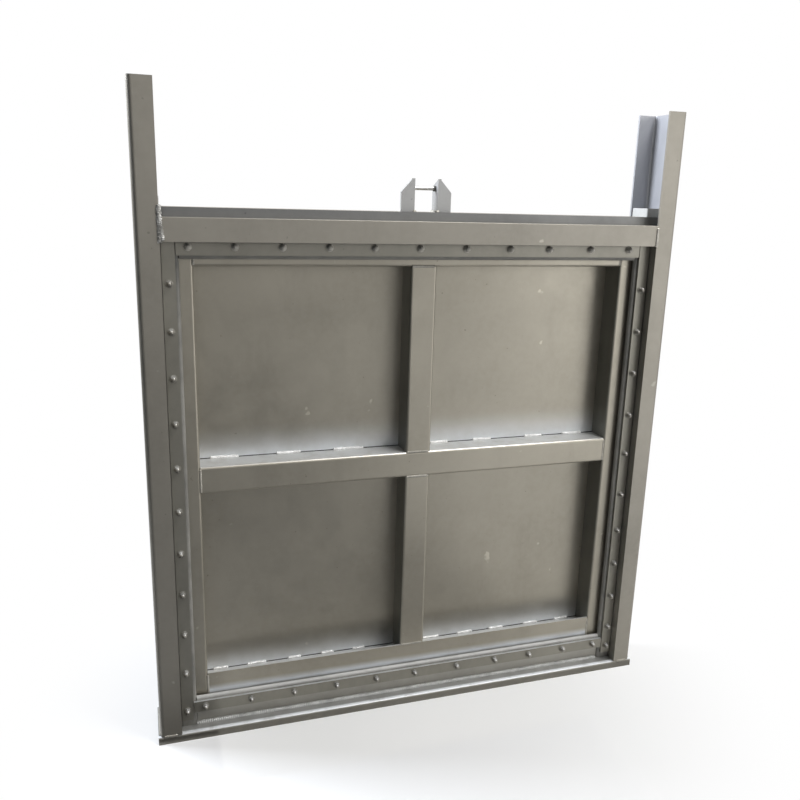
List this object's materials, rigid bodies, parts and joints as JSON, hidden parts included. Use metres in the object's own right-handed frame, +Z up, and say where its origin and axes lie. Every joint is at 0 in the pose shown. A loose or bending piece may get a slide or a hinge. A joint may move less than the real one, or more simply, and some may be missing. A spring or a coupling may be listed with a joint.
{
  "type": "sluice gate",
  "caption": "Fabricated steel sluice gate: a ribbed leaf with a lifting lug slides up in channel rails, with a sill, a top beam and bolted rubber seals round the opening.",
  "frame": {"origin": "centre of the footprint, on the floor under the sill", "axes": "+Z up along the rails, +X to the right seen from the front, +Y from the front to the rear"},
  "size_m": [1.409, 0.14, 1.633],
  "materials": {
    "rail_steel": "satin",
    "seat_steel": "satin",
    "strip_steel": "satin",
    "leaf_steel": "satin",
    "lug_steel": "satin",
    "pin_steel": "smooth",
    "seal_rubber": "matte",
    "shoe_polymer": "matte"
  },
  "bodies": {
    "frame": {"left_rail": "rail_steel", "right_rail": "rail_steel", "sill": "rail_steel", "top_beam": "rail_steel", "left_seat_angle": "seat_steel", "right_seat_angle": "seat_steel", "top_seat_bar": "seat_steel", "bottom_seat_bar": "seat_steel", "left_seal": "seal_rubber", "right_seal": "seal_rubber", "top_seal": "seal_rubber", "bottom_seal": "seal_rubber", "left_strip": "strip_steel", "right_strip": "strip_steel", "top_strip": "strip_steel", "bottom_strip": "strip_steel"},
    "leaf": {"skin_plate": "leaf_steel", "left_edge_channel": "leaf_steel", "right_edge_channel": "leaf_steel", "left_edge_cap": "leaf_steel", "right_edge_cap": "leaf_steel", "head_channel": "leaf_steel", "bottom_channel": "leaf_steel", "horizontal_rib": "leaf_steel", "upper_rib": "leaf_steel", "lower_rib": "leaf_steel", "left_ear": "lug_steel", "right_ear": "lug_steel", "left_gusset": "lug_steel", "right_gusset": "lug_steel", "lug_pin": "pin_steel", "left_upper_shoe": "shoe_polymer", "right_upper_shoe": "shoe_polymer", "left_lower_shoe": "shoe_polymer", "right_lower_shoe": "shoe_polymer"}
  },
  "joints": [
    {"name": "leaf_slide", "type": "slide", "parent": "frame", "child": "leaf", "axis": [0, 0, 1], "range_m": [0, 1.22]}
  ]
}
